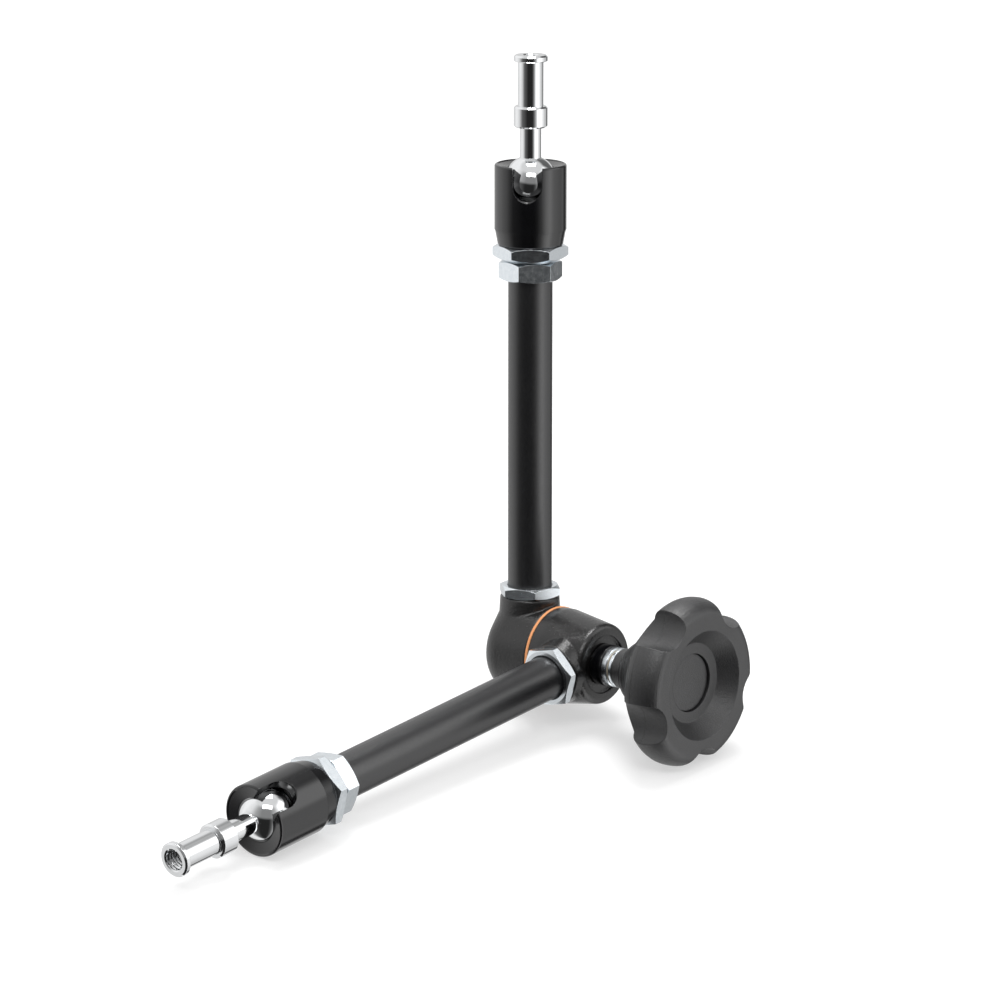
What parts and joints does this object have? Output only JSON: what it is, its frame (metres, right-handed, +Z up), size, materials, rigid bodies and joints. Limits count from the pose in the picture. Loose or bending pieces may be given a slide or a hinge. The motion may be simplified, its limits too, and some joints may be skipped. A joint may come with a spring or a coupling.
{
  "type": "articulating friction arm",
  "caption": "Two tube arms hinged at a central hub locked by one lobed hand knob, with a slotted ball socket and a threaded 16 mm stud at each end.",
  "frame": {"origin": "on the ground, at the middle of the footprint of the arm as it stands by itself", "axes": "+Z up; the knob points to -Y and a little up, the lower arm runs to -X, the upper arm stands up"},
  "size_m": [0.3218, 0.1648, 0.3062],
  "materials": {
    "tube_black": "matt black powder coat on aluminium tube",
    "socket_black": "satin black anodised, turned",
    "hub_black": "satin black coat over a fine cast surface",
    "zinc": "bright zinc plate with a slight blue cast",
    "chrome": "polished chrome plate",
    "steel": "plain turned steel",
    "brass": "plain turned brass",
    "friction_orange": "orange friction material",
    "bearing_beige": "natural nylon",
    "knob_black": "fine-grained black plastic",
    "cap_black": "matt dark plastic",
    "cup_black": "black acetal"
  },
  "bodies": {
    "lower_arm": {"front_housing": "hub_black", "friction_ring": "friction_orange", "lower_tube": "tube_black", "lower_hub_nut": "zinc", "lower_end_fitting": "zinc", "lower_lock_nut": "zinc", "lower_socket_base": "socket_black", "lower_socket": "socket_black"},
    "upper_arm": {"rear_housing": "hub_black", "upper_tube": "tube_black", "upper_hub_nut": "zinc", "upper_end_fitting": "zinc", "upper_lock_nut": "zinc", "upper_socket_base": "socket_black", "upper_socket": "socket_black"},
    "lower_clamp": {"lower_pressure_cup": "cup_black", "lower_push_rod": "steel"},
    "upper_clamp": {"upper_pressure_cup": "cup_black", "upper_push_rod": "steel"},
    "lower_ball": {"lower_ball": "chrome"},
    "lower_stud": {"lower_stud": "chrome"},
    "upper_ball": {"upper_ball": "chrome"},
    "upper_stud": {"upper_stud": "chrome"},
    "spindle": {"draw_spindle": "steel"},
    "washer_stack": {"cone_sleeve": "steel", "thrust_collar": "socket_black", "wide_washer": "zinc", "bearing_ring": "bearing_beige", "thin_spacer": "zinc"},
    "knob": {"knob_rear_half": "knob_black", "knob_front_half": "knob_black", "knob_nut": "brass", "knob_cap": "cap_black"}
  },
  "joints": [
    {"name": "elbow", "type": "hinge", "parent": "lower_arm", "child": "upper_arm", "pos_m": [0.12095, 0.01213, 0.02585], "axis": [0, 0.987, -0.1609], "range_deg": [-87, 253]},
    {"name": "washer_stack_slide", "type": "slide", "parent": "lower_arm", "child": "washer_stack", "axis": [0, -0.987, 0.1609], "range_m": [0, 0.00113]},
    {"name": "knob_turn", "type": "hinge", "parent": "washer_stack", "child": "knob", "pos_m": [0.12095, -0.04709, 0.0355], "axis": [0, -0.987, 0.1609], "range_deg": [0, 540]},
    {"name": "spindle_slide", "type": "slide", "parent": "lower_arm", "child": "spindle", "axis": [0, 0.987, -0.1609], "range_m": [0, 0.00113]},
    {"name": "lower_rod_slide", "type": "slide", "parent": "lower_arm", "child": "lower_clamp", "axis": [0.9987, 0.0081, 0.05], "range_m": [0, 0.000651]},
    {"name": "upper_rod_slide", "type": "slide", "parent": "upper_arm", "child": "upper_clamp", "axis": [-0.0714, -0.1604, -0.9845], "range_m": [0, 0.000651]},
    {"name": "lower_ball_tilt", "type": "hinge", "parent": "lower_arm", "child": "lower_ball", "pos_m": [-0.10062, -0.00596, 0.01742], "axis": [-0.0339, 0.841, 0.54], "range_deg": [-30, 90]},
    {"name": "lower_stud_spin", "type": "hinge", "parent": "lower_ball", "child": "lower_stud", "pos_m": [-0.12659, -0.00618, 0.01612], "axis": [-0.9987, -0.0081, -0.05], "continuous": true},
    {"name": "upper_ball_tilt", "type": "hinge", "parent": "upper_arm", "child": "upper_ball", "pos_m": [0.1371, 0.06468, 0.24573], "axis": [0.5578, -0.8247, 0.0939], "range_deg": [-30, 90]},
    {"name": "upper_stud_spin", "type": "hinge", "parent": "upper_ball", "child": "upper_stud", "pos_m": [0.13896, 0.06885, 0.27133], "axis": [0.0714, 0.1604, 0.9845], "continuous": true}
  ],
  "couplings": [
    {"joint": "washer_stack_slide", "follows": "knob_turn", "m_per_rad": 0.00011937},
    {"joint": "spindle_slide", "follows": "knob_turn", "m_per_rad": 0.00011937},
    {"joint": "lower_rod_slide", "follows": "knob_turn", "m_per_rad": 0.000068916},
    {"joint": "upper_rod_slide", "follows": "knob_turn", "m_per_rad": 0.000068916}
  ]
}
